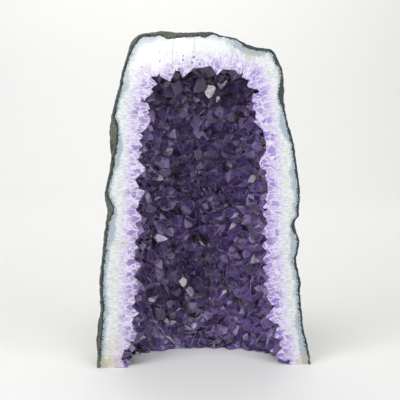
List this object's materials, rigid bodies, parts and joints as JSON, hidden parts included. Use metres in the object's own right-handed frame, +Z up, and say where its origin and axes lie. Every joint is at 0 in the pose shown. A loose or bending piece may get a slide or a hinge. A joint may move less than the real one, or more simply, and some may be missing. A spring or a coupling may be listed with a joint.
{
  "type": "amethyst geode",
  "caption": "Standing half of a tall geode: rough stone rind, sawn and polished banded rim, and a deep hollow lined with purple quartz crystals.",
  "frame": {"origin": "centre of the bounding box at its bottom, on the surface that the sawn base stands on", "axes": "+Z up, and the sawn open front faces -Y"},
  "size_m": [0.195, 0.1122, 0.3014],
  "materials": {
    "rind_stone": "rough natural rind, with a sawn and polished front of banded agate and white quartz",
    "amethyst": "natural crystal faces, glassy"
  },
  "bodies": {
    "root": {"geode_shell": "rind_stone", "crystal_crust": "amethyst"}
  },
  "joints": []
}
